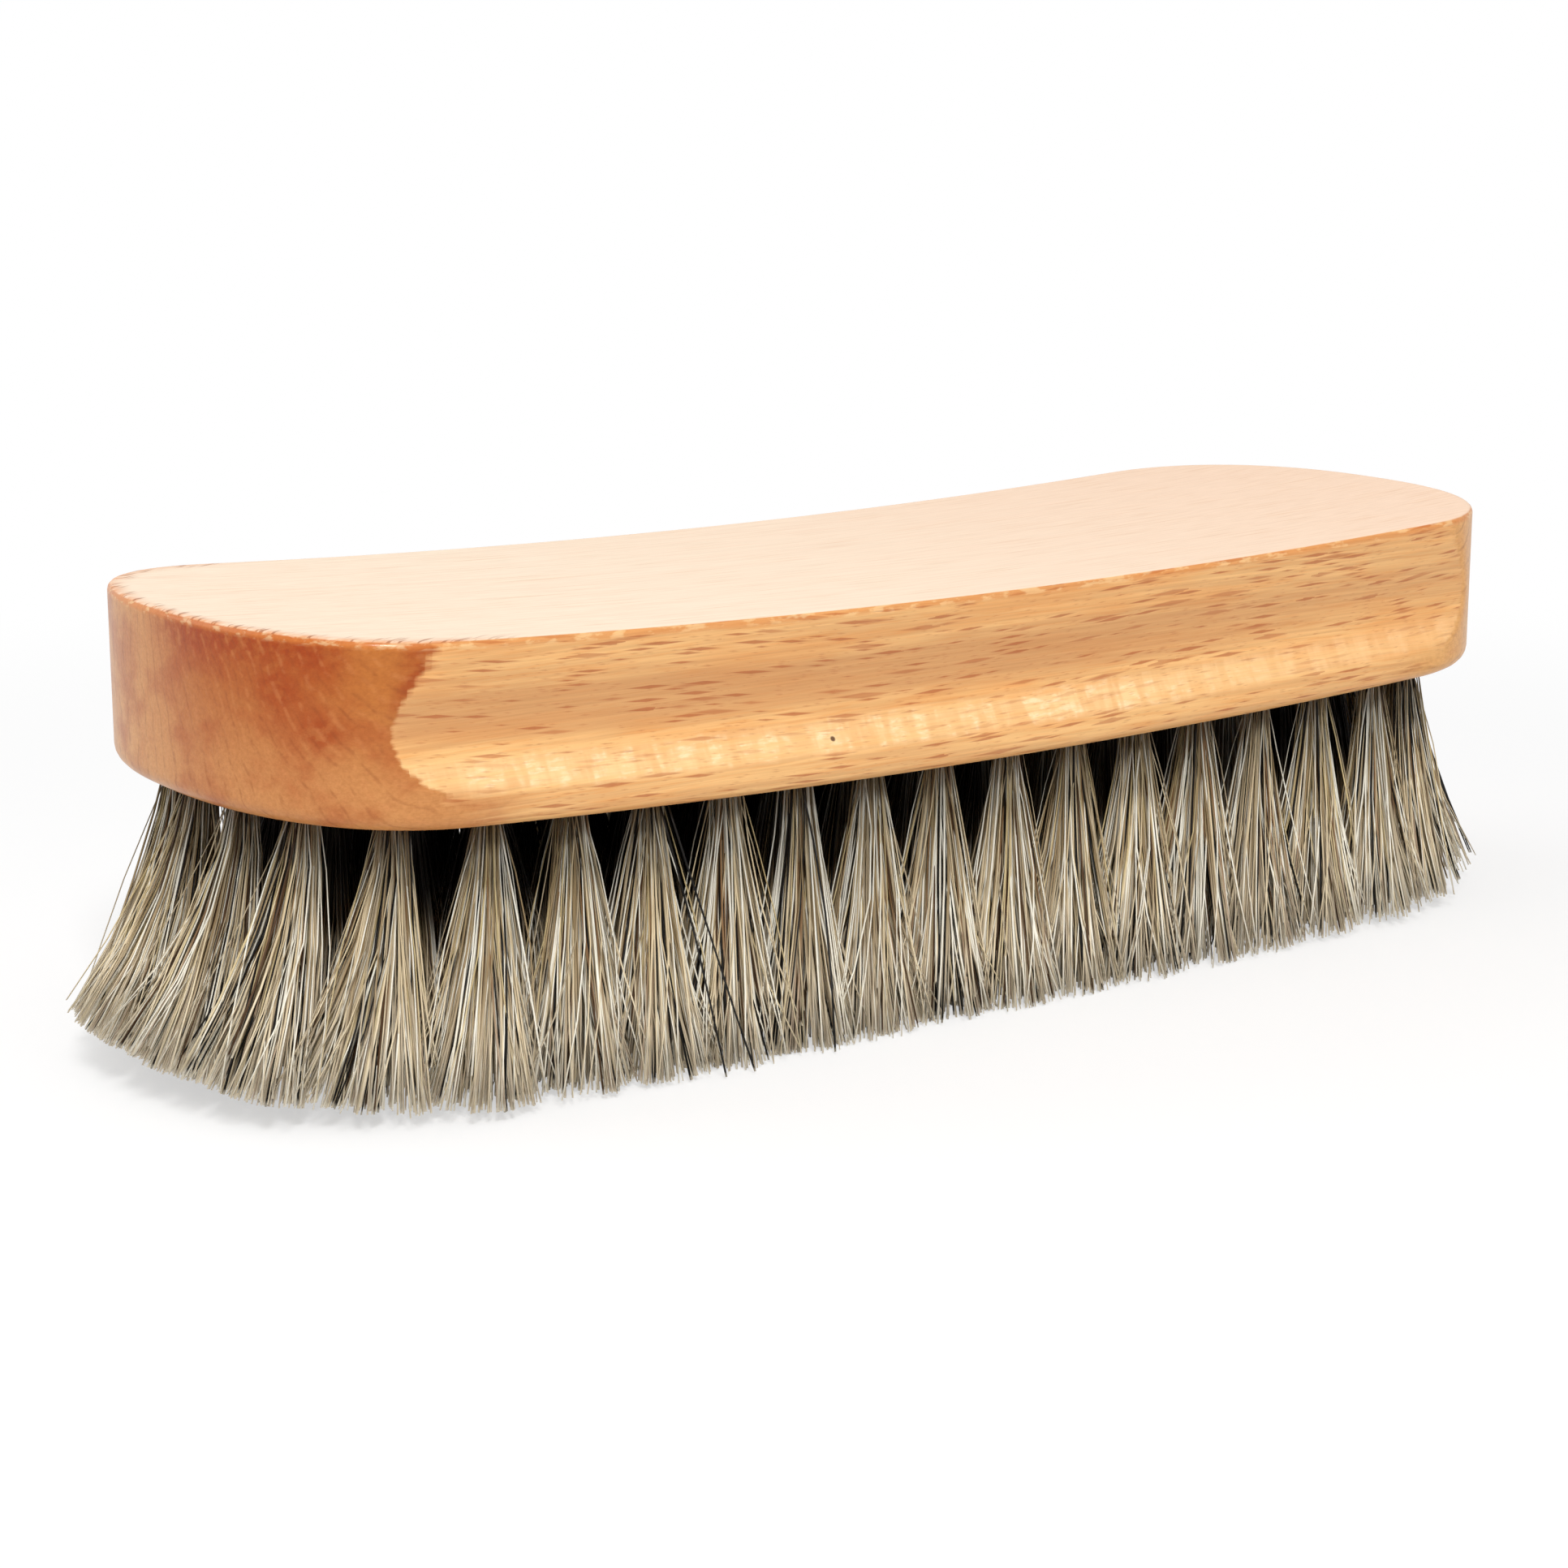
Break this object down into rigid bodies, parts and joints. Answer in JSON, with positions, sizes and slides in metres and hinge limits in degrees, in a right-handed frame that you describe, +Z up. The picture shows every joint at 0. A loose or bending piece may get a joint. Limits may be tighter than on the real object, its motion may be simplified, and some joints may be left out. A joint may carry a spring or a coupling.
{
  "type": "shoe shine brush",
  "caption": "Hand brush for shining shoes: a bowed wooden block with a finger cove along each side, and staggered tufts of horsehair held in blind holes by flat steel anchors.",
  "frame": {"origin": "centre of the brush in plan, on the plane that its cut hair tips stand on", "axes": "+X along the block towards its right end, +Y across it towards its back long side, +Z up from the hair to the block's top face"},
  "size_m": [0.1874, 0.0632, 0.0528],
  "materials": {
    "beech": "clear satin lacquer",
    "horsehair": "natural, blunt cut",
    "anchor_steel": "plain"
  },
  "bodies": {
    "root": {"block": "beech", "outer_front_row_tufts": "horsehair", "outer_right_end_tufts": "horsehair", "outer_back_row_tufts": "horsehair", "outer_left_end_tufts": "horsehair", "middle_front_row_tufts": "horsehair", "middle_right_end_tufts": "horsehair", "middle_back_row_tufts": "horsehair", "middle_left_end_tufts": "horsehair", "inner_front_row_tufts": "horsehair", "inner_right_end_tufts": "horsehair", "inner_back_row_tufts": "horsehair", "inner_left_end_tufts": "horsehair", "outer_front_row_anchors": "anchor_steel", "outer_right_end_anchors": "anchor_steel", "outer_back_row_anchors": "anchor_steel", "outer_left_end_anchors": "anchor_steel", "middle_front_row_anchors": "anchor_steel", "middle_right_end_anchors": "anchor_steel", "middle_back_row_anchors": "anchor_steel", "middle_left_end_anchors": "anchor_steel", "inner_front_row_anchors": "anchor_steel", "inner_right_end_anchors": "anchor_steel", "inner_back_row_anchors": "anchor_steel", "inner_left_end_anchors": "anchor_steel"}
  },
  "joints": []
}
